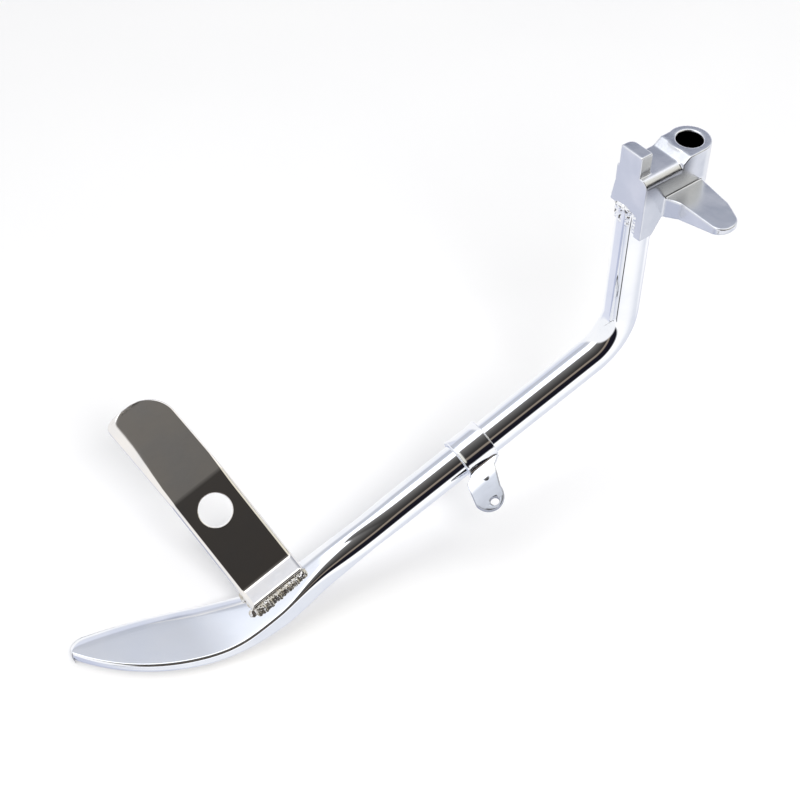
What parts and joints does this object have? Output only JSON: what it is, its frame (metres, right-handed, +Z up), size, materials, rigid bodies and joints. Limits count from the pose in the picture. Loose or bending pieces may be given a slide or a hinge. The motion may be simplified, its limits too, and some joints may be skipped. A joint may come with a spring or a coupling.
{
  "type": "motorcycle kickstand",
  "caption": "Chromed side stand: cast pivot head with bore, post and tongue, bent round leg with a forged foot, foot lever and spring band.",
  "frame": {"origin": "middle of the pivot bore, on its axis", "axes": "+Z up along the pivot bore, +X towards the tongue and the spring ear, -Y towards the foot"},
  "size_m": [0.1484, 0.303, 0.1842],
  "materials": {
    "head_chrome": "plated over a linished casting",
    "leg_chrome": "bright mirror plating",
    "lever_chrome": "bright plating with light handling haze",
    "band_chrome": "bright mirror plating",
    "weld_chrome": "plating over rippled weld, grey brown in the hollows"
  },
  "bodies": {
    "root": {"pivot_head": "head_chrome", "leg_bar": "leg_chrome", "foot_lever": "lever_chrome", "spring_band": "band_chrome", "band_rivet": "band_chrome", "collar_weld": "weld_chrome", "toe_weld": "weld_chrome", "heel_weld": "weld_chrome"}
  },
  "joints": []
}
